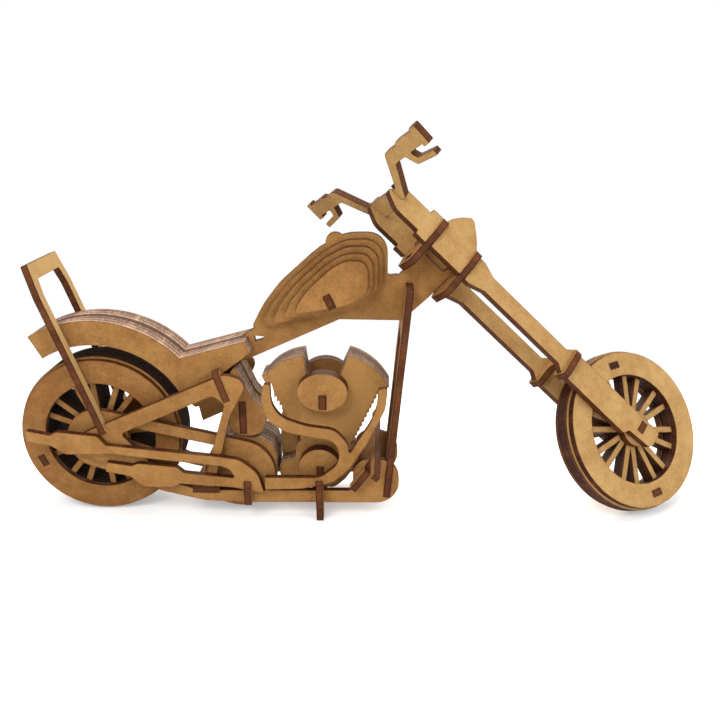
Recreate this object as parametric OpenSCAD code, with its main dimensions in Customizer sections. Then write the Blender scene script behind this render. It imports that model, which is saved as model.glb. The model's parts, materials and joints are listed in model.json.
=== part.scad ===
// Chopper motorcycle as a slot-together display model, cut from thin fibreboard.
// Flat plates stand either along the machine or across it. Thick parts are stacks of plates.
// Origin: the middle of the rear axle. +X is forward, +Y is the rider's left, +Z is up.

/* [Board] */
// Thickness of every cut board
board = 3; // [2.5:0.1:3.5]
// Fine gap left between the boards of a stack
seam = 0.12; // [0.08:0.01:0.2]
// Gap between a turning piece and its neighbour
run_gap = 0.5; // [0.3:0.1:0.8]

/* [Wheels] */
// Radius of the rear wheel's wide middle boards
tyre_r = 36; // [34:0.5:38]
// Radius of the rear wheel's two outer rings
ring_r = 35; // [32:0.5:35.5]
// Radius of the hole in the rings
ring_hole_r = 24.5; // [22:0.5:26]
// Radius of the front wheel's middle boards
front_tyre_r = 35.9; // [34:0.1:38]
// Radius of the front wheel's two outer rings
front_ring_r = 34.9; // [32:0.1:35.5]
// Boards across the rear wheel
rear_boards = 7; // [5:2:7]
// Boards across the front wheel
front_boards = 4; // [2:1:4]
// Spokes, in close pairs
spoke_pairs = 8; // [4:1:10]
// Width of one spoke
spoke_w = 2.6; // [1.6:0.2:3.4]
// Radius of the solid hub in the middle of the spokes
hub_r = 7.5; // [6:0.5:9]
// Radius of the front wheel's hub discs
hub_disc_r = 8; // [7.6:0.1:11]
// Width of the flat strips used as axles
axle_w = 5.5; // [4.5:0.1:6]
// Distance from the rear axle forward to the steering axis, at rear axle height plus head_z
head_x = 147.6; // [140:0.5:155]
// Height of the middle of the steering head above the rear axle
head_z = 78; // [70:0.5:84]
// Steering axis, leaned back from upright
rake = 46.1; // [40:0.1:50]
// Steering angle in the stored pose, to the left
turn = 40; // [0:1:45]
// How far the front axle sits ahead of the steering axis
axle_lead = 4; // [0:0.5:6]

/* [Frame] */
// Distance between the inner faces of the two side frames
frame_gap = 28; // [28:0.5:30]
// Lower edge of the bottom rails, below the rear axle
rail_low = -29; // [-31:0.5:-27]
// Height of the bottom rails
rail_h = 5.8; // [5:0.2:7]
// Radius of the rails' round front ends
rail_end_r = 10.5; // [9:0.5:11]
// Centre of the rails' round front ends
rail_end_x = 121.8; // [118:0.5:124]

/* [Body] */
// Boards across the seat and rear fender
seat_boards = 7; // [5:2:7]
// Radius of the fender's underside round the rear axle
fender_in_r = 42; // [40:0.5:44]
// Radius of the fender's crest round the rear axle
fender_out_r = 52.4; // [49:0.5:55]
// Boards stacked on each side of the tank's middle board
tank_boards = 4; // [2:1:4]
// How much each tank board shrinks
tank_step = 0.12; // [0.08:0.01:0.14]
// Width of the backrest
backrest_w = 36; // [34:0.5:37]
// Height of the backrest along its lean
backrest_h = 77; // [60:1:80]
// Lean of the backrest from upright
backrest_lean = 19.5; // [15:0.1:24]

/* [Engine] */
// Boards across the engine
engine_boards = 5; // [3:2:5]
// Cooling fins on the engine's left and right flanks
fins = 11; // [6:1:14]
// Depth of one fin
fin_d = 1.1; // [0.6:0.1:1.6]
// Length of the oval air cleaner
cleaner_l = 21.8; // [18:0.2:24]
// Height of the oval air cleaner
cleaner_h = 17.4; // [14:0.2:19]
// Radius of the cam cover disc
cam_r = 9.4; // [7:0.2:10]
// Radius of the belt's rear pulley cover
belt_rear_r = 13.7; // [11:0.1:14.5]
// Radius of the belt's front pulley cover
belt_front_r = 15.6; // [12:0.1:16]
// Radius of the gearbox stack
gearbox_r = 16; // [13:0.1:16]

/* [Fork] */
// Distance between the inner faces of the fork legs
leg_gap = 14.5; // [14.5:0.5:18]
// Width of a fork leg
leg_w = 8; // [7:0.2:10]
// Width of the lower part of a fork leg
leg_low_w = 13; // [11:0.5:15]
// Height of the upper face of the lower yoke above the middle of the steering head
low_yoke = -10.3; // [-12:0.1:-9]
// Height of the lower face of the upper yoke above the middle of the steering head
high_yoke = 6.3; // [5:0.1:8]
// Height of the risers above the upper yoke
riser_h = 25; // [20:0.5:28]
// Half the width of the handlebar
bar_half = 46; // [40:0.5:52]
// How far the handlebar hangs down to the right
bar_tilt = 4; // [0:0.5:6]
// How far each foot peg reaches out from the middle
peg_reach = 37; // [28:0.5:40]
// Stand feet: distance from the middle to the outer edge
stand_half = 21.3; // [20.5:0.1:26]

/* [Hidden] */
$fn = 96;
arc_step = 9;
face = "#b98a50";
pale = "#cda56b";
burnt = "#5a2c18";
pin_gap = 0.075;
big = 200;

side_in = frame_gap / 2;
side_out = side_in + board;
pipe_out = side_out + board;
belt_out = side_in;
rail_top = rail_low + rail_h;
ground = -tyre_r;

// ---- outlines ----
function unit(v) = v / norm(v);
function spot(p) = [p[0], p[1]];
// A corner's radius is limited so that its arc ends before the middle of the shorter edge
function corner(a, b, c, want) =
  want <= 0 ? [b] :
  let (u = unit(a - b), v = unit(c - b), half = acos(u * v) / 2)
  let (r = min(want, 0.48 * min(norm(a - b), norm(c - b)) * tan(half)))
  let (mid = b + unit(u + v) * r / sin(half), s = b + u * r / tan(half), e = b + v * r / tan(half))
  let (a0 = atan2(s.y - mid.y, s.x - mid.x), a1 = atan2(e.y - mid.y, e.x - mid.x))
  let (sweep = (a1 - a0 + 540) % 360 - 180, n = max(2, ceil(abs(sweep) / arc_step)))
  [for (i = [0:n]) mid + r * [cos(a0 + sweep * i / n), sin(a0 + sweep * i / n)]];
// Corners are [x, z] or [x, z, radius]
function outline(p) =
  let (n = len(p))
  [for (i = [0:n - 1])
    each corner(spot(p[(i + n - 1) % n]), spot(p[i]), spot(p[(i + 1) % n]), len(p[i]) > 2 ? p[i][2] : 0)];
function arc(r, a0, a1, c = [0, 0]) =
  let (n = max(2, ceil(abs(a1 - a0) / 5)))
  [for (i = [0:n]) c + r * [cos(a0 + (a1 - a0) * i / n), sin(a0 + (a1 - a0) * i / n)]];
function teeth(a, b, n, d) =
  let (along = (b - a) / n, out = d * unit([-(b - a).y, (b - a).x]))
  [for (i = [0:n - 1]) each [a + along * i, a + along * i + out, a + along * (i + 0.85)]];

// ---- plates ----
// A board along the machine, joined from its outlines: its right face is at y0
module side_plate(y0, t = board) {
  for (i = [0:$children - 1]) translate([0, y0 + t, 0]) rotate([90, 0, 0]) linear_extrude(t) children(i);
}
// What is cut right through such a board
module side_cut(y0, t = board) {
  translate([0, y0 + t + 1, 0]) rotate([90, 0, 0]) linear_extrude(t + 2) children();
}
// A stack of n boards from y0 to the left, with a fine gap between the boards
module side_stack(y0, n) {
  for (i = [0:n - 1]) side_plate(y0 + i * board + seam / 2, board - seam) children();
}
// A board across the machine through p, leaned back by lean. Its outline is [across, up the board].
module cross_plate(p, lean) {
  translate([p[0], 0, p[1]]) rotate([0, -lean, 0]) rotate([90, 0, 90])
    translate([0, 0, -board / 2]) linear_extrude(board) children();
}
// The same board's slot in a side plate, from s0 to s1 up the board
module cross_slot(p, lean, s0, s1) {
  translate(p) rotate(lean) translate([-board / 2, s0]) square([board, s1 - s0]);
}
module bar(x0, x1, z0, z1) {
  translate([x0, z0]) square([x1 - x0, z1 - z0]);
}
module both(y) {
  children();
  mirror([1, 0]) children();
}
// Two flats between the board planes y0 and y1 on both sides of the middle
module notch_pair(y0, y1, s0, s1) {
  both() bar(y0, y1, s0, s1);
}
// Places a piece drawn upright round the steering axis: x forward, y left, z up along the axis
module steered() {
  translate([head_x, 0, head_z]) rotate([0, -rake, 0]) rotate([0, 0, turn]) children();
}
// A point [forward, up the axis] of the steering head, seen from the side, wheel straight
function head(u, w) = [head_x + u * cos(rake) - w * sin(rake), head_z + u * sin(rake) + w * cos(rake)];

// ---- places that several pieces share ----
knee = [56.2, 25.2];
knee_lean = 18.4;
knee_up = 7.2;
knee_down = 7.2;
backrest_foot = [3.4, 5];
// Middle of the fender's crest
crest_mid = [-0.7, 0.3];
down_foot = [126.8, -27];
down_lean = -5.85;
down_h = 94.5;
tab_x = 66;
tab_top = -17.5;
tab_low = -28.6;
stand_x = 97.5;
stand_top = -13.2;
stand_out_top = -17;
deck_x0 = 41;
deck_x1 = 53;
deck_z = -24.5;
footrest = [112, -20.8];
footrest_lean = -37;
belt_front = [62, -16.3];
// Two pieces that meet in one mortise each reach half way through it
tab_d = board / 2;
pivot_w = 5;
pivot_r = norm([pivot_w, board]) / 2 + pin_gap;
bore_r = norm([axle_w, board]) / 2 + pin_gap;
peg_w = 5.4;
peg_at = 29.6;
// Height of the front axle along the steering axis, so that the leaning wheel just meets the ground
wheel_tilt = asin(sin(rake) * sin(turn));
front_half = front_boards * board / 2;
front_low = max(front_tyre_r * cos(wheel_tilt) + (front_half - board) * sin(wheel_tilt),
  front_ring_r * cos(wheel_tilt) + front_half * sin(wheel_tilt));
axle_down = (ground + front_low - head_z - axle_lead * sin(rake) * cos(turn)) / cos(rake);
leg_in = leg_gap / 2;

// ---- main frame ----
module seat_outline() {
  polygon(concat(
    arc(fender_out_r, 120, 43, crest_mid),
    [[66.3, 43.6], [68, 38.2], [60.5, 32.6], [52, 26.4], [40, 20.8]],
    arc(fender_in_r, 29, 121)));
}

tank_mid = [110, 68];
tank_corners = [[66.8, 44.8, 2.5], [73.5, 57.5, 30], [81, 67.2, 40], [98, 82.3, 40], [109.5, 88.5, 18],
  [127.3, 88.5, 14], [127.3, 62, 14], [112, 53, 30]];
module tank_outline() {
  polygon(outline(tank_corners));
}

module spine_frame() {
  color(face) difference() {
    side_plate(-board / 2) {
      seat_outline();
      tank_outline();
      // filler cap
      translate([105.2, 84.5]) circle(4.1);
      // backbone, from under the seat to the steering head
      polygon(outline([[48, 26.5], [66, 33], [106.5, 51], [133.5, 50.5], head(-14.2, low_yoke + 0.3),
        head(4, low_yoke + 0.3), head(4, low_yoke + 3.3), concat(head(-2.4, low_yoke + 3.3), [1.4]),
        concat(head(-2.4, high_yoke - 1.9), [0.8]), head(4, high_yoke - 1.9), head(4, high_yoke - 0.3),
        head(-16.5, high_yoke - 0.3), [131.4, 70.6, 1.5], [127.2, 70.2, 1.4], [126, 76],
        [110, 70], [70, 47.5], [60, 41]]));
      // pivot tabs, one in each yoke
      pivot_tab(high_yoke - 1, high_yoke + board + 0.8);
      pivot_tab(low_yoke - board - 0.8, low_yoke + 1);
      // hanger behind the oil tank
      polygon(outline([[38, 22], [38.2, 13, 1], [40.8, 10.2, 1], [42.6, 10.6], [44, 3.7], [52, 7.4], [58, 9],
        [62.3, 12], [62.3, 31], [52, 28]]));
    }
    side_cut(-board / 2) cross_slot(down_foot, down_lean, 0, 86);
    side_cut(-board / 2) cross_slot(knee, knee_lean, -knee_down - 1, 1.4);
    side_cut(-board / 2) tank_peg_outline();
    // chink between the seat and the tank
    side_cut(-board / 2) polygon([[69, 43.7], [73.6, 43.2], [72.8, 42], [69.5, 41.1]]);
  }
}
module pivot_tab(w0, w1) {
  polygon([head(-pivot_w / 2, w0), head(pivot_w / 2, w0), head(pivot_w / 2, w1), head(-pivot_w / 2, w1)]);
}

module side_frame(y0) {
  color(face) difference() {
    side_plate(y0)
      polygon(outline([[-7, 3.2, 4], [58, 31, 6], [68, 27.5, 7], [59.5, 12.5, 12], [50, rail_top, 2],
        [rail_end_x - rail_end_r + 0.8, rail_top, 2.5],
        [rail_end_x - rail_end_r + 0.8, rail_low + 2 * rail_end_r, 9.5],
        [rail_end_x + rail_end_r, rail_low + 2 * rail_end_r, 9.5],
        [rail_end_x + rail_end_r, rail_low, 10.4], [66, rail_low], [46, rail_low + 0.8, 30],
        [26, -23.3, 20], [-7, -5.5, 5]]));
    side_cut(y0) {
      polygon(outline([[11, 3.6, 1.5], [52.6, 21.4, 3], [57.3, 17.2, 2.5], [44.8, rail_top - 0.3, 2],
        [31, -19.2, 8]]));
      square([axle_w, board], center = true);
      cross_slot(footrest, footrest_lean, 5, 40);
      bar(deck_x0, deck_x1, deck_z, deck_z + board);
      bar(tab_x - board / 2, tab_x + board / 2, (rail_low + rail_top) / 2, rail_top + 1);
      bar(stand_x - board / 2, stand_x + board / 2, rail_low - 1, (rail_low + rail_top) / 2);
    }
    side_cut(y0) cross_slot(backrest_foot, backrest_lean, -1.2, 40);
    side_cut(y0) cross_slot(knee, knee_lean, 0, 40);
    side_cut(y0) cross_slot(down_foot, down_lean, 6, 40);
  }
}
module side_frame_right() { side_frame(-side_out); }
module side_frame_left() { side_frame(side_in); }

// Across the front of the frame, from the backbone down to the rails
module down_tube_frame() {
  half = side_out + 0.4;
  color(face) cross_plate(down_foot, down_lean) difference() {
    polygon(outline([[-half, 0.3, 1], [-half, down_h, 2], [half, down_h, 2], [half, 0.3, 1],
      [half - 7, 0.3, 1], [half - 7, 72, 3], [-half + 7, 72, 3], [-half + 7, 0.3, 1]]));
    bar(-board / 2, board / 2, 86, down_h + 1);
    notch_pair(side_in, side_out, -1, 6);
  }
}

module backrest() {
  half = backrest_w / 2;
  color(pale) cross_plate(backrest_foot, backrest_lean) difference() {
    polygon(outline([[-half, -1.2, 0.6], [-half, backrest_h - 14, 6], [-half + 2.5, backrest_h, 1],
      [half - 2.5, backrest_h, 1], [half, backrest_h - 14, 6], [half, -1.2, 0.6]]));
    polygon(outline([[-half + 4.5, -2], [-half + 4.5, backrest_h - 14, 6], [-half + 6.3, backrest_h - 7, 1],
      [half - 6.3, backrest_h - 7, 1], [half - 4.5, backrest_h - 14, 6], [half - 4.5, -2]]));
  }
}

module knee_plate() {
  half = side_out + 0.6;
  seat_half = seat_boards * board / 2;
  color(face) cross_plate(knee, knee_lean) difference() {
    polygon(outline([[-half, -knee_down, 1], [-half, knee_up, 2], [-seat_half, knee_up, 2], [-seat_half, 1.4],
      [seat_half, 1.4], [seat_half, knee_up, 2], [half, knee_up, 2], [half, -knee_down, 1]]));
    notch_pair(side_in, side_out, -knee_down - 1, 0);
  }
}

module rear_cross_plate() {
  color(face) translate([deck_x0, -side_out, deck_z]) cube([deck_x1 - deck_x0, 2 * side_out, board]);
}

module front_cross_plate() {
  half = pipe_out + 1.5;
  lap = (rail_low + rail_top) / 2;
  color(face) cross_plate([tab_x, 0], 0) difference() {
    polygon(outline([[-half, tab_low, 1], [-half, tab_top, 1], [half, tab_top, 1], [half, tab_low, 1]]));
    notch_pair(side_in, side_out, tab_low - 1, lap);
    bar(-side_in, side_in, tab_low - 1, -26.5);
  }
}

module centre_stand() {
  half = stand_half;
  lap = (rail_low + rail_top) / 2;
  color(face) cross_plate([stand_x, 0], 0) difference() {
    polygon(outline([[-half, ground, 0.8], [-half, -30, 0.6], [-half - 0.6, -29.4, 0.4],
      [-half - 0.6, stand_out_top, 1],
      [-pipe_out, stand_out_top, 0.5], [-side_in, stand_top, 2], [side_in, stand_top, 2],
      [pipe_out, stand_out_top, 0.5],
      [half + 0.6, stand_out_top, 1], [half + 0.6, -29.4, 0.4], [half, -30, 0.6], [half, ground, 0.8],
      [half - 5.5, ground, 0.8], [side_in, -30.5, 1], [8, -27, 3], [-8, -27, 3], [-side_in, -30.5, 1],
      [-half + 5.5, ground, 0.8]]));
    notch_pair(side_in, side_out, lap, 0);
    bar(-pipe_out, -side_out, -19.4, 0);
  }
}

// One board across the frame: its wide ends stand clear of the rails and its top runs out as pegs
module footrest_bar() {
  out = side_out + 5;
  color(face) cross_plate(footrest, footrest_lean)
    polygon(outline([[-out, 0, 0.6], [-out, 11, 0.6], [-side_out, 11], [-side_out, 15.4],
      [-peg_reach, 15.4, 0.4],
      [-peg_reach, 18.2, 0.4], [peg_reach, 18.2, 0.4], [peg_reach, 15.4, 0.4], [side_out, 15.4],
      [side_out, 11],
      [out, 11, 0.6], [out, 0, 0.6], [side_out, 0, 0.6], [side_out, 5], [side_in, 5], [side_in, 4, 0.4],
      [-side_in, 4, 0.4], [-side_in, 5], [-side_out, 5], [-side_out, 0, 0.6]]));
}

// ---- seat, tank and oil tank ----
module seat_half_stack(y0) {
  n = (seat_boards - 1) / 2;
  color(face) union() {
    side_stack(y0, n) seat_outline();
    // hidden pegs that hold the boards together
    side_plate(y0, n * board) for (a = [100, 62]) translate((fender_in_r + 5) * [cos(a), sin(a)])
      square(3, center = true);
    side_plate(y0, n * board) translate([58, 35]) square(3, center = true);
  }
}
module seat_right() { seat_half_stack(-seat_boards * board / 2); }
module seat_left() { seat_half_stack(board / 2); }

module tank_layer(k) {
  s = 1 - tank_step * k;
  translate(tank_mid * (1 - s)) scale(s) tank_outline();
}
module tank_peg_outline() {
  translate([103, 61.5]) rotate(-65) square([6.6, 3.2], center = true);
}
module tank_half(dir) {
  color(face) for (k = [1:tank_boards]) {
    y0 = board / 2 + (k - 1) * board;
    side_plate(dir > 0 ? y0 + seam / 2 : -y0 - board + seam / 2, board - seam) difference() {
      tank_layer(k);
      tank_peg_outline();
    }
  }
}
module tank_right() { tank_half(-1); }
module tank_left() { tank_half(1); }
// Runs through all the tank's boards
module tank_peg() {
  reach = board / 2 + tank_boards * board + 0.3;
  color(burnt) side_plate(-reach, 2 * reach) tank_peg_outline();
}

module oil_tank_outline() {
  polygon(outline([[59.2, 29.6, 1.5], [61.6, 32.4, 1.5], [68, 18, 4], [74.5, 11, 5], [72.5, 0.2, 7],
    [58, 0.2, 7],
    [57.2, 12, 4], [62.2, 18, 2]]));
}
module oil_tank_half(y0) {
  color(face) union() {
    side_stack(y0, 3) difference() {
      oil_tank_outline();
      bar(62.3, 62.3 + board, 1.2, 16.2);
    }
    side_plate(y0, 3 * board) translate([69.5, 8]) square(3, center = true);
  }
}
module oil_tank_right() { oil_tank_half(-board / 2 - 3 * board); }
module oil_tank_left() { oil_tank_half(board / 2); }
module oil_tank_tab() {
  color(burnt) translate([62.3, -3.5 * board - 0.2, 1.2]) cube([board, 7 * board + 0.4, 15]);
}

// ---- engine ----
engine_half = engine_boards * board / 2;
module engine_outline() {
  polygon(concat(
    [[72.4, 27.2]],
    arc(23.8, 141, 98, [92.8, 12.6]),
    outline([[90.8, 36.3], [92, 28.4], [93.5, 22, 1.5], [105.2, 22, 1.5], [107, 28.4], [110.6, 36.2]]),
    arc(28.6, 73, 27, [102.6, 9]),
    [[126.2, 21], [123.4, 20.4]],
    teeth([122.6, 19.6], [110.8, -4.5], fins, fin_d),
    outline([[111, -6], [115.4, -12, 4], [108.4, -22, 6], [103, -26.6, 4], [92, -24.2, 4], [86, -20.9, 2],
      [78.8, -20.7, 1.5], [79, -14, 2], [86, -12, 2], [86.5, -5.5]]),
    teeth([89.3, -2.5], [77.4, 19.6], fins, fin_d),
    [[76.6, 23.6], [73.8, 24]]));
}
// The left boards reach further back and down, as the crankcase
module crankcase_outline() {
  polygon(outline([[79.5, 8, 3], [100, 8], [100, -18], [79.4, -18, 2], [78.8, -4, 8]]));
}
module engine_stack() {
  color(face) difference() {
    union() {
      for (i = [0:engine_boards - 1]) side_plate(-engine_half + i * board + seam / 2, board - seam) {
        engine_outline();
        if (i >= engine_boards / 2) crankcase_outline();
      }
      side_plate(-engine_half, 2 * engine_half) for (p = [[82, 27], [117, 26], [100, 2], [92, -14]])
        translate(p) square(3, center = true);
    }
    translate([stand_x - board / 2, -engine_half - 1, -big])
      cube([board, 2 * engine_half + 2, big + stand_top]);
    side_cut(-engine_half, 2 * engine_half) cleaner_peg_outline();
  }
}
cleaner_mid = [99.2, 21.4];
module oval(l, h) {
  polygon([for (i = [0:5:355]) [cos(i) * l / 2, sin(i) * h / 2]]);
}
module cleaner_peg_outline() {
  translate(cleaner_mid + [0, -4.4]) square([3.2, 6.4], center = true);
}
module air_cleaner(dir) {
  color(face) for (k = [0:1]) {
    y0 = engine_half + k * board;
    side_plate(dir > 0 ? y0 + seam / 2 : -y0 - board + seam / 2, board - seam) difference() {
      translate(cleaner_mid) oval(cleaner_l, cleaner_h);
      cleaner_peg_outline();
    }
  }
}
module air_cleaner_right() { air_cleaner(-1); }
module air_cleaner_left() { air_cleaner(1); }
// Holds both air cleaners through the engine
module air_cleaner_peg() {
  reach = engine_half + 2 * board + 0.4;
  color(burnt) side_plate(-reach, 2 * reach) cleaner_peg_outline();
}
cam_mid = [97.2, -14.6];
module cam_cover(dir) {
  color(face) union() {
    for (k = [0:1]) {
      y0 = engine_half + k * board;
      side_plate(dir > 0 ? y0 + seam / 2 : -y0 - board + seam / 2, board - seam) difference() {
        translate(cam_mid) circle(cam_r);
        bar(stand_x - board / 2, stand_x + board / 2, -big, stand_top);
      }
    }
    side_plate(dir > 0 ? engine_half : -engine_half - 2 * board + seam, 2 * board - seam)
      translate([93, -9.5]) square(3, center = true);
  }
}
module cam_cover_right() { cam_cover(-1); }
module cam_cover_left() { cam_cover(1); }

module gearbox_stack() {
  color(face) union() {
    difference() {
      for (i = [0:6]) side_plate(-3.5 * board + i * board + seam / 2, board - seam) {
        translate(belt_front) circle(gearbox_r);
        polygon(outline([[63, -2], [70.6, -0.5, 1.5], [76.4, -4, 3], [78.2, -10, 4], [77.8, -16], [64, -16]]));
      }
      side_cut(-3.5 * board, 7 * board) bar(tab_x - board / 2, tab_x + board / 2, -big, tab_top);
      side_cut(-3.5 * board, 7 * board) bar(0, deck_x1, deck_z, deck_z + board);
    }
    side_plate(-3.5 * board, 7 * board) for (p = [[-8, 0], [8, 6]]) translate(belt_front + p)
      square(3, center = true);
  }
}

// ---- belt, exhaust, axle ----
belt_span = norm(belt_front);
belt_dir = atan2(belt_front.y, belt_front.x);
belt_lean = acos((belt_rear_r - belt_front_r) / belt_span);
belt_run = 5;
function belt_pt(c, r, side) = c + r * [cos(belt_dir + side * belt_lean), sin(belt_dir + side * belt_lean)];
module belt_cover() {
  color(face) side_plate(-belt_out) difference() {
    polygon(concat(arc(belt_rear_r, belt_dir + belt_lean, belt_dir + 360 - belt_lean),
      arc(belt_front_r, belt_dir - belt_lean, belt_dir + belt_lean, belt_front)));
    difference() {
      polygon([belt_pt([0, 0], belt_rear_r - belt_run, 1), belt_pt(belt_front, belt_front_r - belt_run, 1),
        belt_pt(belt_front, belt_front_r - belt_run, -1), belt_pt([0, 0], belt_rear_r - belt_run, -1)]);
      circle(belt_rear_r);
      translate(belt_front) circle(belt_front_r);
    }
    square([axle_w, board], center = true);
    bar(tab_x - board / 2, tab_x + board / 2, -big, tab_top);
    bar(deck_x0, deck_x1, deck_z, deck_z + board);
    cross_slot(backrest_foot, backrest_lean, -1.2, 40);
  }
}

module silencers() {
  color(pale) side_plate(-pipe_out) difference() {
    polygon(outline([[-29.4, 6.2, 0.6], [-19, 4, 1], [-15.9, 5.6, 2], [1.8, 3.6, 3], [5, -0.6, 2],
      [54, -5.8, 12],
      [63, -7.2, 8], [70.6, -13.6, 8], [73.2, -23.2, 0.5], [60, -20.4, 3], [36, -18.6, 2], [33, -20.4, 3],
      [20, -20.2, 4],
      [14.4, -15.1, 2], [4, -13, 0.6], [4.5, -8.6, 0.6], [15.4, -10.2, 1], [18.5, -9.1, 2], [35.2, -10.8, 2],
      [38.3, -13.5, 2], [61, -16, 0.8], [58.4, -11.8, 2], [54.9, -10.2, 2], [24.8, -6.8, 2], [5, -4.3, 1],
      [2, -4.8, 3], [-13, -4.8, 4], [-18.6, -1, 2], [-29.4, 1.2, 0.6]]));
    bar(tab_x - board / 2, tab_x + board / 2, -big, tab_top);
  }
}

module exhaust_headers() {
  color(pale) side_plate(-pipe_out) difference() {
    polygon(outline([[77.7, 27.6, 1], [77.7, 19, 10], [81.6, 12.6, 12], [92, 8.8, 20], [105, 6.8, 8],
      [110.4, 0, 6],
      [110.4, -5.4, 1], [114.2, 1.2, 20], [120.5, 10.8, 25], [122.8, 18, 20], [123.3, 25.1, 1],
      [127.4, 26.4, 1.5], [126.4, 16.6, 12], [118.2, 0, 40],
      [109.8, -12.6, 14], [103, -18, 12], [90, -20.8, 12], [73.6, -21.4, 0.5], [73.6, -15.6, 0.5],
      [98, -15.6, 8],
      [106.8, -8.6, 8], [105.6, 1.6, 7], [84, 5.6, 10], [74.8, 12.2, 9], [73.3, 20, 10], [74.8, 27.6, 1]]));
    bar(stand_x - board / 2, stand_x + board / 2, -big, -19.4);
  }
}

module rear_axle() {
  color(burnt) translate([-axle_w / 2, -side_out, -board / 2]) cube([axle_w, 2 * side_out, board]);
}

// ---- wheels, drawn round their own axle, in the machine's side plane ----
module pegs_at(turned) {
  for (a = [turned, turned + 180]) rotate(a) translate([peg_at, 0]) square([board, peg_w], center = true);
}
module spoke_outline(r, first) {
  union() {
    difference() {
      circle(r);
      circle(ring_hole_r + 0.6);
    }
    circle(hub_r);
    for (k = [0:spoke_pairs - 1], d = [-9.3, 9.3]) rotate(first + k * 360 / spoke_pairs + d)
      translate([hub_r - 1, -spoke_w / 2]) square([ring_hole_r - hub_r + 3, spoke_w]);
  }
}
module ring_plate(y0, r, turned) {
  side_plate(y0 + seam / 2, board - seam) difference() {
    circle(r);
    circle(ring_hole_r);
    pegs_at(turned);
  }
}
module wheel_core(boards, r, first, turned) {
  half = boards * board / 2;
  difference() {
    union() {
      side_stack(-half + board, boards - 2) spoke_outline(r, first);
      side_plate(-half + board, 2 * half - 2 * board) circle(hub_r);
    }
    side_cut(-half, 2 * half) pegs_at(turned);
    side_cut(-half, 2 * half) circle(bore_r);
  }
}
module wheel_pegs(boards, turned) {
  half = boards * board / 2 + 0.15;
  side_plate(-half, 2 * half) pegs_at(turned);
}
rear_half = rear_boards * board / 2;
rear_first = 15;
rear_turned = 24;
module rear_ring_right() { color(face) ring_plate(-rear_half, ring_r, rear_turned); }
module rear_ring_left() { color(face) ring_plate(rear_half - board, ring_r, rear_turned); }
module rear_wheel_core() { color(face) wheel_core(rear_boards, tyre_r, rear_first, rear_turned); }
module rear_wheel_pegs() { color(burnt) wheel_pegs(rear_boards, rear_turned); }

front_first = 31;
front_turned = 56;
module at_front_axle() {
  steered() translate([axle_lead, 0, axle_down]) children();
}
module front_ring_right() { color(pale) at_front_axle() ring_plate(-front_half, front_ring_r, front_turned); }
module front_ring_left() { color(pale) at_front_axle()
  ring_plate(front_half - board, front_ring_r, front_turned); }
module front_wheel_pegs() { color(burnt) at_front_axle() wheel_pegs(front_boards, front_turned); }
module front_wheel_core() {
  color(pale) at_front_axle() union() {
    wheel_core(front_boards, front_tyre_r, front_first, front_turned);
    side_plate(-leg_in + run_gap, 2 * (leg_in - run_gap)) difference() {
      circle(hub_r);
      circle(bore_r);
    }
    for (y = [-leg_in + run_gap, leg_in - run_gap - board]) side_plate(y) difference() {
      circle(hub_disc_r);
      circle(bore_r);
    }
  }
}

// ---- fork and handlebar, drawn with the wheel straight ----
module axis_plate(w) {
  translate([0, 0, w]) linear_extrude(board) children();
}
yoke_half = leg_in + board + 1.5;
leg_u = 1.4;
module yoke_outline() {
  difference() {
    polygon(outline([[9, -yoke_half, 1.5], [9, yoke_half, 1.5], [1, yoke_half, 5], [-13.5, 5.5, 3],
      [-13.5, -5.5, 3],
      [1, -yoke_half, 5]]));
    circle(pivot_r);
  }
}
// Mortises for tabs of the side plates: from u0 to u1 along the yoke
module leg_mortises(u0, u1) {
  for (v = [-leg_in - board, leg_in]) translate([u0, v]) square([u1 - u0, board]);
}
tab_half = 3.2;
module upper_yoke() {
  color(face) steered() axis_plate(high_yoke) difference() {
    yoke_outline();
    leg_mortises(leg_u - tab_half, leg_u + tab_half);
    translate([-9.6, 0]) square([board, 5], center = true);
  }
}
module lower_yoke() {
  color(face) steered() axis_plate(low_yoke - board) difference() {
    yoke_outline();
    leg_mortises(leg_u - tab_half, leg_u + tab_half);
  }
}
brace_w = -72;
leg_end = axle_down - 9;
module fork_leg(v0) {
  hi = leg_u + leg_w / 2;
  lo = leg_u - leg_w / 2;
  color(pale) steered() side_plate(v0) difference() {
    polygon(outline([[leg_u - tab_half, low_yoke - board + tab_d],
      [leg_u + tab_half, low_yoke - board + tab_d],
      [leg_u + tab_half, low_yoke - board], [8, low_yoke - board], [8, low_yoke - board - 3, 2],
      [hi, low_yoke - board - 10, 2],
      [hi, brace_w + 3.5, 1], [hi + 3, brace_w, 0.3], [hi + 3, brace_w - board],
      [leg_u + leg_low_w / 2, brace_w - board - 0.5],
      [leg_u + leg_low_w / 2, axle_down + 3, 3], [axle_lead + 4.4, leg_end + 4, 1],
      [axle_lead + 4.4, leg_end, 3],
      [axle_lead - 5, leg_end, 3], [axle_lead - 6, axle_down + 5, 1],
      [leg_u - leg_low_w / 2, axle_down + 7, 1], [leg_u - leg_low_w / 2, brace_w - board - 0.5],
      [lo - 2.5, brace_w - board], [lo - 2.5, brace_w, 0.3], [lo, brace_w + 3.5, 1],
      [lo, low_yoke - board - 10, 2],
      [-5.2, low_yoke - board - 3, 2], [-5.2, low_yoke - board], [leg_u - tab_half, low_yoke - board]]));
    translate([axle_lead, axle_down]) square([axle_w, board], center = true);
    bar(-big, leg_u - 3, brace_w - board, brace_w);
  }
}
module fork_leg_right() { fork_leg(-leg_in - board); }
module fork_leg_left() { fork_leg(leg_in); }

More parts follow.
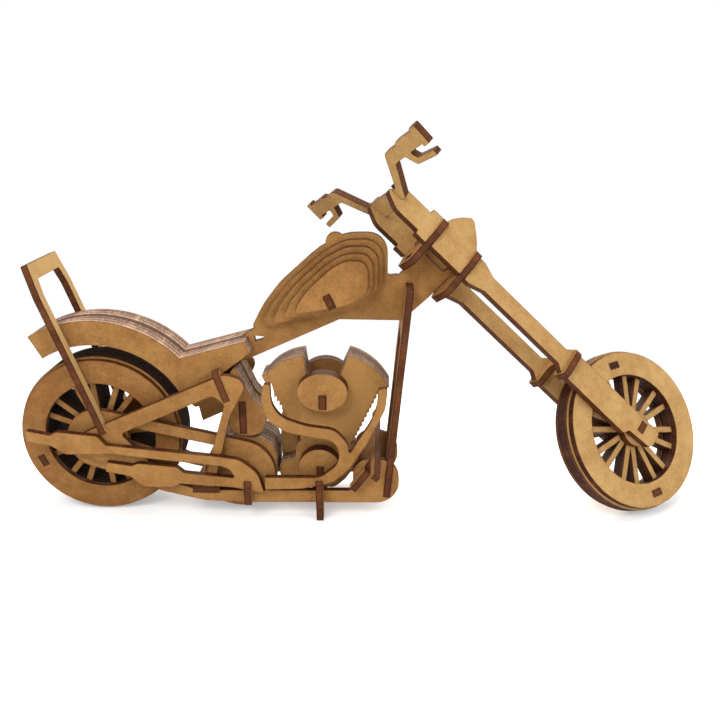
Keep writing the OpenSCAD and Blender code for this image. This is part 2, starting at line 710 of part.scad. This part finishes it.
module headlight(v0) {
  color(pale) steered() side_plate(v0)
    polygon(outline([[-5, low_yoke, 0.5], [leg_u - tab_half, low_yoke], [leg_u - tab_half, low_yoke - tab_d],
      [leg_u + tab_half, low_yoke - tab_d], [leg_u + tab_half, low_yoke], [9.3, low_yoke],
      [12.4, low_yoke + 2, 2],
      [15.2, low_yoke + 4.3, 3], [19, low_yoke + 8, 3], [19.8, low_yoke + 10, 1.6], [16, high_yoke - 2.8, 3],
      [12, high_yoke, 3], [9.3, high_yoke + 1, 1], [9.3, high_yoke], [leg_u + tab_half, high_yoke],
      [leg_u + tab_half, high_yoke + tab_d], [leg_u - tab_half, high_yoke + tab_d],
      [leg_u - tab_half, high_yoke],
      [-5, high_yoke, 0.5]]));
}
module headlight_right() { headlight(-leg_in - board); }
module headlight_left() { headlight(leg_in); }

riser_top = high_yoke + board + riser_h;
// The handlebar's foot, hung down to the right
module bar_seat() {
  translate([bar_u, 0, riser_top - 6]) rotate([bar_tilt, 0, 0]) children();
}
module riser(v0) {
  base = high_yoke + board;
  color(pale) steered() difference() {
    side_plate(v0)
      polygon(outline([[-5.6, base, 0.4], [-5.6, base + 5.5, 0.4], [-3.8, base + 5.5, 0.4],
        [-3.8, riser_top - 7, 8],
        [0, riser_top, 2], [6.8, riser_top, 0.6], [6.8, base + 5.5, 0.4], [9.2, base + 5.5, 0.4],
        [9.2, base, 0.4],
        [leg_u + tab_half, base], [leg_u + tab_half, base - tab_d], [leg_u - tab_half, base - tab_d],
        [leg_u - tab_half, base]]));
    bar_seat() translate([0, -big / 2, 0]) cube([board, big, 20]);
  }
}
bar_u = 1.3;
module riser_right() { riser(-leg_in - board); }
module riser_left() { riser(leg_in); }

// Half of the handlebar's outline, measured from its seat in the risers
grip_w = 17;
half_bar = outline([[0, -2.5], [leg_in - 0.3, -2.5], [leg_in - 0.3, 0], [leg_in + board, 0], [12.7, 0, 1.5],
  [23.3, grip_w - 3.4, 2.5], [30.2, grip_w - 3.4], [33, grip_w - 8.6, 1.6], [bar_half - 1, grip_w - 9.8, 0.5],
  [bar_half - 1, grip_w - 7.4, 0.5], [35.6, grip_w - 6.4, 1.2], [34, grip_w - 3.2, 0.8],
  [bar_half - 3.4, grip_w - 3.2],
  [bar_half - 3.4, grip_w - 4.4, 0.4], [bar_half, grip_w - 4.4, 0.5], [bar_half, grip_w + 4.4, 0.5],
  [bar_half - 3.4, grip_w + 4.4, 0.4], [bar_half - 3.4, grip_w + 3.3], [32, grip_w + 3.4, 0.5],
  [30.5, grip_w + 2.3, 0.5], [22.2, grip_w + 2.4, 3], [12.2, 5.4, 1.5], [0, 5.6]]);
module handlebar() {
  n = len(half_bar);
  color(pale) steered() bar_seat() rotate([90, 0, 90]) linear_extrude(board)
    polygon(concat(half_bar, [for (i = [n - 2:-1:1]) [-half_bar[i].x, half_bar[i].y]]));
}

module fork_brace() {
  half = leg_in + board + 2.6;
  color(face) steered() axis_plate(brace_w - board) difference() {
    polygon(outline([[8.6, -half, 3], [8.6, half, 3], [-6, half, 1.5], [-6, leg_in - 2, 2], [2.6, 3, 3.5],
      [2.6, -3, 3.5], [-6, -leg_in + 2, 2], [-6, -half, 1.5]]));
    leg_mortises(leg_u - 3, big);
  }
}

module front_axle() {
  color(burnt) at_front_axle() translate([-axle_w / 2, -leg_in - board - 0.3, -board / 2])
    cube([axle_w, 2 * (leg_in + board) + 0.6, board]);
}

spine_frame();
side_frame_right();
side_frame_left();
down_tube_frame();
backrest();
knee_plate();
rear_cross_plate();
front_cross_plate();
centre_stand();
footrest_bar();
seat_right();
seat_left();
tank_right();
tank_left();
tank_peg();
oil_tank_right();
oil_tank_left();
oil_tank_tab();
engine_stack();
air_cleaner_right();
air_cleaner_left();
air_cleaner_peg();
cam_cover_right();
cam_cover_left();
gearbox_stack();
belt_cover();
exhaust_headers();
silencers();
rear_axle();
rear_ring_right();
rear_ring_left();
rear_wheel_core();
rear_wheel_pegs();
front_ring_right();
front_ring_left();
front_wheel_core();
front_wheel_pegs();
upper_yoke();
lower_yoke();
fork_leg_right();
fork_leg_left();
headlight_right();
headlight_left();
riser_right();
riser_left();
handlebar();
fork_brace();
front_axle();
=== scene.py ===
# %% [markdown]
# # A chopper motorcycle cut from fibreboard
# The model is a slot-together kit: flat boards, all of one thickness, cut by a laser and pushed
# into each other. Its shapes come ready from the CAD frame. This lesson gives every board its
# finish: a mottled tan face, a scorched edge and the soft soot line between the two.

# %% Load the frame
import json
import math

import bpy
from mathutils import Matrix, Vector


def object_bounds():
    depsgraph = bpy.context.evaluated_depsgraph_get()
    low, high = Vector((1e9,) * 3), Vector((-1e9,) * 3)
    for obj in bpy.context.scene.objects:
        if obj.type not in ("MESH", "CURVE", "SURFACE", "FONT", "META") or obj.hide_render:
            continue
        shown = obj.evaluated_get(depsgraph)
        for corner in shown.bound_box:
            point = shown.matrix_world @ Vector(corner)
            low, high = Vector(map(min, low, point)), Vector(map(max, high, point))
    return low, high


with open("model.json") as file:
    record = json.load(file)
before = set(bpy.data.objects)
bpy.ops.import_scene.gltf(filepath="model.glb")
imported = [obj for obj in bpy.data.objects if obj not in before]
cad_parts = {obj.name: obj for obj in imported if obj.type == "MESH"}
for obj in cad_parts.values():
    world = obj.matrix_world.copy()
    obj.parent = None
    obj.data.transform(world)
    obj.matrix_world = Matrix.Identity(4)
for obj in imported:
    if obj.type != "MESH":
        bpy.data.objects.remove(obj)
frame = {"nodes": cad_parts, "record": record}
cad_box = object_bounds()
BOARD = 0.003
print("boards:", len(frame["nodes"]), "box:", [round(v, 4) for v in cad_box[1] - cad_box[0]])

# %% [markdown]
# ## Shader sums as plain sums
# A finish is a small calculation: a mask, a mix, another mask. Nodes could be wired by hand, but
# a long finish is then hard to read. Here one class holds a socket, and adding, multiplying or
# comparing two of them adds the node that does it. Every other node comes from its `node` method.

# %% A socket that can be calculated with
class Sock:
    def __init__(self, tree, out):
        self.tree, self.out = tree, out

    def node(self, kind, settings=None, **inputs):
        """Adds any node: its settings first, then its inputs by name or by number (i0, i1...)."""
        added = self.tree.nodes.new(kind)
        for key, value in (settings or {}).items():
            setattr(added, key, value)
        for key, value in inputs.items():
            numbered = key[0] == "i" and key[1:].isdigit()
            slot = added.inputs[int(key[1:]) if numbered else key.replace("_", " ")]
            if isinstance(value, Sock):
                self.tree.links.new(value.out, slot)
            else:
                slot.default_value = value
        return added

    def get(self, kind, settings=None, output=0, **inputs):
        """Adds a node and returns one of its outputs."""
        return Sock(self.tree, self.node(kind, settings, **inputs).outputs[output])

    def math(self, operation, a, b=0.0):
        return self.get("ShaderNodeMath", {"operation": operation}, i0=a, i1=b)

    def __add__(self, other): return self.math("ADD", self, other)
    def __radd__(self, other): return self.math("ADD", other, self)
    def __sub__(self, other): return self.math("SUBTRACT", self, other)
    def __rsub__(self, other): return self.math("SUBTRACT", other, self)
    def __mul__(self, other): return self.math("MULTIPLY", self, other)
    def __rmul__(self, other): return self.math("MULTIPLY", other, self)
    def __truediv__(self, other): return self.math("DIVIDE", self, other)
    def __rtruediv__(self, other): return self.math("DIVIDE", other, self)
    def __lt__(self, other): return self.math("LESS_THAN", self, other)
    def __gt__(self, other): return self.math("GREATER_THAN", self, other)
    def __abs__(self): return self.math("ABSOLUTE", self)

    def floor(self): return self.math("FLOOR", self)
    def either(self, other): return self.math("MAXIMUM", self, other)

    def dot(self, direction):
        return self.get("ShaderNodeVectorMath", {"operation": "DOT_PRODUCT"}, "Value", i0=self, i1=direction)

    def vec(self, operation, other):
        return self.get("ShaderNodeVectorMath", {"operation": operation}, i0=self, i1=other)

    def length(self):
        return self.get("ShaderNodeVectorMath", {"operation": "LENGTH"}, "Value", i0=self)

    def spread(self, low, high):
        """Stretches low..high to 0..1, with soft ends."""
        return self.get("ShaderNodeMapRange", {"interpolation_type": "SMOOTHSTEP"},
                        i0=self, i1=low, i2=high, i3=0.0, i4=1.0)

    def noise(self, scale, detail=2.0, rough=0.5):
        return self.get("ShaderNodeTexNoise", {"noise_dimensions": "3D"}, "Fac", Vector=self, Scale=scale,
                        Detail=detail, Roughness=rough)

    def mix(self, a, b):
        """Colour a where this mask is 0, colour b where it is 1."""
        a, b = (colour if isinstance(colour, Sock) else (*colour, 1) for colour in (a, b))
        return self.get("ShaderNodeMix", {"data_type": "RGBA"}, 2, i0=self, i6=a, i7=b)


print("a socket can:", ", ".join(name for name in vars(Sock) if not name.startswith("__")))

# %% [markdown]
# ## An empty material
# Each finish starts from a material with no nodes at all, so that everything in it is there on
# purpose. The Sock that comes with it has no output yet: it only knows which tree to add to.

# %% Empty material
def new_material(name):
    material = bpy.data.materials.new(name)
    material.use_nodes = True
    tree = material.node_tree
    tree.nodes.clear()
    return material, Sock(tree, None)


def show(s, shader):
    """Wires the last shader of a material to its surface."""
    s.tree.links.new(shader.outputs[0], s.node("ShaderNodeOutputMaterial").inputs[0])


print("materials so far:", len(bpy.data.materials))

# %% [markdown]
# ## Which way is each board flat?
# One finish can't tell a face from an edge by itself. But a board's two faces hold most of its
# area, so the direction that most of the area looks along is the board's flat direction.
# The lowest corner along that direction is where the first board of the piece starts. Both are
# worked out once for each piece and written into its finish as fixed numbers.

# %% Find the flat direction of each piece
def flat_direction(mesh):
    area = {}
    for face in mesh.polygons:
        n = face.normal
        if max(n, key=abs) < 0:
            n = -n
        key = tuple(round(v, 2) for v in n)
        total, place = area.get(key, (0.0, Vector()))
        area[key] = (total + face.area, place + n * face.area)
    return max(area.values(), key=lambda entry: entry[0])[1].normalized()


flat, first = {}, {}
for name, piece in frame["nodes"].items():
    flat[name] = flat_direction(piece.data)
    first[name] = min(v.co.dot(flat[name]) for v in piece.data.vertices)
ways = {tuple(round(v, 2) for v in d) for d in flat.values()}
print("flat directions:", sorted(ways))

# %% [markdown]
# ## The face of the board
# Fibreboard is wood fibre pressed with resin. Its face is a golden tan with wide, faint blotches,
# short darker fibres and a few dark flecks. Soot also stains the face just beside a cut. A Bevel
# node finds that border: it rounds the normal near a sharp corner, and where the rounded normal
# leaves the board's flat direction, soot is mixed in. Painting it by hand would need a map for
# every board, and this needs none.

# %% Face colour
TONES = {
    "brown_board": ((0.368, 0.190, 0.060), (0.218, 0.094, 0.027)),
    "pale_board": ((0.465, 0.288, 0.112), (0.318, 0.168, 0.056)),
    "charred_board": ((0.085, 0.028, 0.011), (0.045, 0.014, 0.006)),
}
SOOT = (0.130, 0.048, 0.014)
SOOT_REACH = 0.0011
FLECK_DARK = 0.45


def face_colour(place, fibre, own, direction, tone, painted_light):
    light, dark = TONES[tone]
    blotch = place.noise(48, 4, 0.6).spread(0.36, 0.66)
    mottle = place.noise(260, 3, 0.6).spread(0.36, 0.66)
    fleck = place.noise(2300, 1).spread(0.60, 0.74)
    # the last term is the piece's painted light and shade, added on top of its real blotches, mottle and
    # fibres
    grain_and_painted_light = blotch * 0.46 + mottle * 0.26 + fibre.spread(0.34, 0.66) * 0.42 + own * 0.1 + (painted_light - 0.12)
    board = grain_and_painted_light.mix(light, dark)
    board = (fleck * 0.5).mix(board, tuple(v * FLECK_DARK for v in dark))
    rounded = place.get("ShaderNodeBevel", {"samples": 6}, Radius=SOOT_REACH)
    to_object = {"vector_type": "NORMAL", "convert_from": "WORLD", "convert_to": "OBJECT"}
    turned = place.get("ShaderNodeVectorTransform", to_object, Vector=rounded)
    near_cut = (1 - abs(turned.dot(direction))).spread(0.0, 0.34)
    return (near_cut * (0.55 + 0.6 * mottle)).mix(board, SOOT)


print("board tones:", ", ".join(TONES))

# %% [markdown]
# ## The edge of the board
# The laser chars the edge, with fine lines across the board where the beam went down. So the
# pattern is squeezed along the flat direction, which draws it out into lines. There are three
# kinds of edge: a single cut is dark red-brown, the rear wheel's thick stack is painted nearly
# black as painted shade on the char, and the stacks of the seat, engine, gearbox and oil tank
# are a paler brown that is a painted sheen of the lamps on their char. Where two boards of a
# stack meet, the edge is blackest.

# %% Edge colour
BLACK = (0.012, 0.006, 0.004)
CHAR = (0.034, 0.008, 0.003)
CHAR_LIGHT = (0.140, 0.044, 0.012)
EDGES = {
    "cut": (CHAR, CHAR_LIGHT),
    # the wheel's near-black edge is painted shade on top of the char
    "wheel": (BLACK, CHAR),
    # the stacks' pale edge colour is a painted sheen of the lamps on the char
    "stack": ((0.130, 0.058, 0.028), (0.520, 0.345, 0.235)),
}
SQUEEZE = 0.9


def edge_colour(place, own, joint, direction, cut):
    """The colour of an edge, and the fine lines that its bump also needs."""
    back = place.get("ShaderNodeVectorMath", {"operation": "SCALE"}, i0=direction,
                     Scale=place.dot(direction) * SQUEEZE)
    along = place.vec("SUBTRACT", back)
    lines = along.noise(1900, 2)
    broad = along.noise(140, 2)
    streak = place.noise(900, 3, 0.6)
    burn = lines.spread(0.40, 0.72) * 0.42 + broad.spread(0.42, 0.72) * 0.4 + streak * 0.3 + own * 0.5 - 0.35
    return (joint * 0.92).mix(burn.mix(*EDGES[cut]), BLACK), lines


print("kinds of edge:", ", ".join(EDGES))

# %% [markdown]
# ## One finish for a board
# The two colours meet in one shader. The normal tells a face from an edge, the distance along
# the flat direction tells which board of a stack this is, and each board gets a little shade of
# its own. Fibreboard has next to no gloss, so the specular level is low, and the surface is
# rough. A low bump gives the face its fibres and lets the seams of a stack sink in.

# %% Board finish
SPECULAR = 0.12
FACE_ROUGH = 0.74
SPARE_BOARDS = 200
EDGE_SMOOTHER = {"cut": 0.2, "wheel": -0.2, "stack": 0.2}
made = {}


def board_finish(tone, direction, start, cut, painted_light):
    key = (tone, cut, painted_light, tuple(round(v, 3) for v in direction), round(start % BOARD, 5))
    if key in made:
        return made[key]
    material, s = new_material("%s_%02d" % (tone, len(made) + 1))
    place = s.get("ShaderNodeTexCoord", output="Object")
    looks = s.get("ShaderNodeTexCoord", output="Normal")
    on_edge = abs(looks.dot(direction)) < 0.7
    # which board of a stack, and how far through it. Pieces that start a whole number of boards
    # apart share a finish, so spare boards are added to keep the count above 0 for all of them.
    depth = (place.dot(direction) - start) / BOARD + SPARE_BOARDS
    own = s.get("ShaderNodeTexWhiteNoise", {"noise_dimensions": "1D"}, "Value", W=depth.floor() + 0.5)
    joint = abs(depth - depth.floor() - 0.5).spread(0.33, 0.45)
    fibre = place.noise(1300, 4, 0.7)
    board = face_colour(place, fibre, own, direction, tone, painted_light)
    edge, lines = edge_colour(place, own, joint, direction, cut)
    rough = FACE_ROUGH - on_edge * EDGE_SMOOTHER[cut] + fibre * 0.1
    height = fibre * 0.3 + on_edge * (lines * 1.2 - joint * 1.6)
    bump = s.get("ShaderNodeBump", Strength=0.4, Distance=0.00014, Height=height)
    show(s, s.node("ShaderNodeBsdfPrincipled", Base_Color=on_edge.mix(board, edge), Roughness=rough,
                   Normal=bump, Specular_IOR_Level=SPECULAR))
    made[key] = material
    return material


print("a face is rough by", FACE_ROUGH)

# %% [markdown]
# ## A finish for every piece
# The CAD record says which of the three tones a piece has. Some pieces are then painted a little
# darker or, with a number below 0, paler, as painted light and shade: the engine paler where the
# lamps leave it in shade, the backrest paler as a painted highlight, the rear rings darker as
# painted shade, and the headlights and tanks a little darker.

# %% Give every piece its finish
edge_kind = {"rear_wheel_core": "wheel", "seat_right": "stack", "seat_left": "stack", "engine_stack": "stack",
             "gearbox_stack": "stack", "oil_tank_right": "stack", "oil_tank_left": "stack"}
# painted light and shade for each piece: above 0 paints it darker, below 0 paler
painted_light_of = {"rear_ring_right": 0.4, "rear_ring_left": 0.4, "engine_stack": -0.3, "backrest": -0.5,
            "headlight_right": 0.15, "headlight_left": 0.15, "tank_right": 0.15, "tank_left": 0.15}
slots = {part["node"]: part["material_slot"] for part in frame["record"]["subparts"]}
for name, piece in frame["nodes"].items():
    cut, painted_light = edge_kind.get(name, "cut"), painted_light_of.get(name, 0.0)
    piece.data.materials.clear()
    piece.data.materials.append(board_finish(slots[name], flat[name], first[name], cut, painted_light))
print("finishes:", len(made))

# %% [markdown]
# ## Floor
# A kit like this is shown on white paper. The camera sees the paper a little brighter than it
# lights the model, so it reads as plain white, and only the soft shadow near the model shows.
# Further out the paper is plain white, so there is no horizon.

# %% Floor
MIDDLE_X = 0.12
FLOOR_SIZE, FLOOR_GAP = 6, 0.0002
LIFT = 0.3
# the paper turns plain white over this distance, which is shorter across the model than along it
WHITE_FROM, WHITE_TO = 0.20, 0.36
OVAL = (1.0, 1.5, 0.0)

floor_z = cad_box[0].z
bpy.ops.mesh.primitive_plane_add(size=FLOOR_SIZE, location=(MIDDLE_X, 0, floor_z - FLOOR_GAP))
floor = bpy.context.object
floor.name = "white_floor"
material, s = new_material("white_paper")
paper = s.node("ShaderNodeBsdfDiffuse", Color=(0.90, 0.895, 0.89, 1))
lift = s.node("ShaderNodeEmission", Color=(1, 1, 1, 1), Strength=LIFT)
plain = s.node("ShaderNodeEmission", Color=(1, 1, 1, 1), Strength=1.0)
near = s.node("ShaderNodeAddShader", i0=Sock(s.tree, paper.outputs[0]), i1=Sock(s.tree, lift.outputs[0]))
away = s.get("ShaderNodeTexCoord", output="Object").vec("MULTIPLY", OVAL).length()
seen = s.node("ShaderNodeMixShader", i0=away.spread(WHITE_FROM, WHITE_TO), i1=Sock(s.tree, near.outputs[0]),
              i2=Sock(s.tree, plain.outputs[0]))
to_camera = s.get("ShaderNodeLightPath", output="Is Camera Ray")
show(s, s.node("ShaderNodeMixShader", i0=to_camera, i1=Sock(s.tree, paper.outputs[0]),
               i2=Sock(s.tree, seen.outputs[0])))
floor.data.materials.append(material)
print("floor at", round(floor_z, 4))

# %% [markdown]
# ## Air
# The air of the studio gives soft light from all sides. The camera and mirror-like reflections
# see it as plain white, and everything else gets less of it, so that shadows stay.

# %% Air
AIR = 0.45

world = bpy.data.worlds.new("studio_air")
bpy.context.scene.world = world
world.use_nodes = True
world.node_tree.nodes.clear()
s = Sock(world.node_tree, None)
path = s.node("ShaderNodeLightPath")
rays = [Sock(s.tree, path.outputs["Is %s Ray" % kind]) for kind in ("Camera", "Glossy", "Transmission")]
soft = s.get("ShaderNodeBackground", Color=(1, 1, 1, 1), Strength=AIR)
white = s.get("ShaderNodeBackground", Color=(1, 1, 1, 1), Strength=1.0)
choose = s.node("ShaderNodeMixShader", i0=rays[0].either(rays[1]).either(rays[2]), i1=soft, i2=white)
s.tree.links.new(choose.outputs[0], s.node("ShaderNodeOutputWorld").inputs[0])
print("air strength:", AIR)

# %% [markdown]
# ## Lamps
# Wide lamps above and beside the camera give the gentle light of a tent, and their size keeps
# the shadows soft. One from behind is a little warm: it glances off the tops of the stacks.

# %% Lamps
MIDDLE = (MIDDLE_X, 0, 0.04)
LAMPS = {
    "key": ((-0.25, -0.75, 0.75), 0.5, 6.5),
    "fill": ((0.75, -0.6, 0.45), 0.6, 3.4),
    "top": ((0.12, 0.15, 1.0), 0.8, 9.0),
    "back": ((0.12, 0.95, 0.42), 0.9, 6.0),
}


def soft_lamp(name, place, size, power):
    lamp = bpy.data.objects.new(name, bpy.data.lights.new(name, "AREA"))
    bpy.context.scene.collection.objects.link(lamp)
    lamp.data.size, lamp.data.energy = size, power
    lamp.location = place
    lamp.rotation_euler = (Vector(MIDDLE) - Vector(place)).to_track_quat("-Z", "Y").to_euler()
    return lamp


lamps = {name: soft_lamp(name, *numbers) for name, numbers in LAMPS.items()}
lamps["back"].visible_camera = False
lamps["back"].data.color = (1.0, 0.80, 0.62)
print("lamps:", {name: lamp.data.energy for name, lamp in lamps.items()})

# %% [markdown]
# ## Camera
# The camera stands to the right of the model and a little above it, and looks slightly down, as
# one looks at a model on a table. Its three axes are worked out from three angles and put
# together as a matrix, because a small tilt, as of a camera held in the hand, is then one more
# angle and nothing else.

# %% Camera
YAW, PITCH, TILT = math.radians(-1.49), math.radians(17.95), math.radians(-0.44)
STANDPOINT = (0.1242, -0.3466, 0.1443)
LENS, SENSOR = 41.32, 36

forward = Vector((math.sin(YAW) * math.cos(PITCH), math.cos(YAW) * math.cos(PITCH), -math.sin(PITCH)))
right = Vector((math.cos(YAW), -math.sin(YAW), 0))
up = right.cross(forward)
right, up = math.cos(TILT) * right + math.sin(TILT) * up, math.cos(TILT) * up - math.sin(TILT) * right
turned = Matrix((right, up, -forward)).transposed().to_4x4()
camera = bpy.data.objects.new("camera", bpy.data.cameras.new("camera"))
bpy.context.scene.collection.objects.link(camera)
camera.matrix_world = Matrix.Translation(STANDPOINT) @ turned
camera.data.lens, camera.data.sensor_width = LENS, SENSOR
camera.data.clip_start, camera.data.clip_end = 0.01, 20
bpy.context.scene.camera = camera
bpy.context.scene.view_settings.view_transform = "Standard"
print("camera to model:", round((Vector(STANDPOINT) - Vector(MIDDLE)).length, 3), "m")

# %% [markdown] ## Close The finishes add no geometry, so the model's box stays the
# box of the CAD.
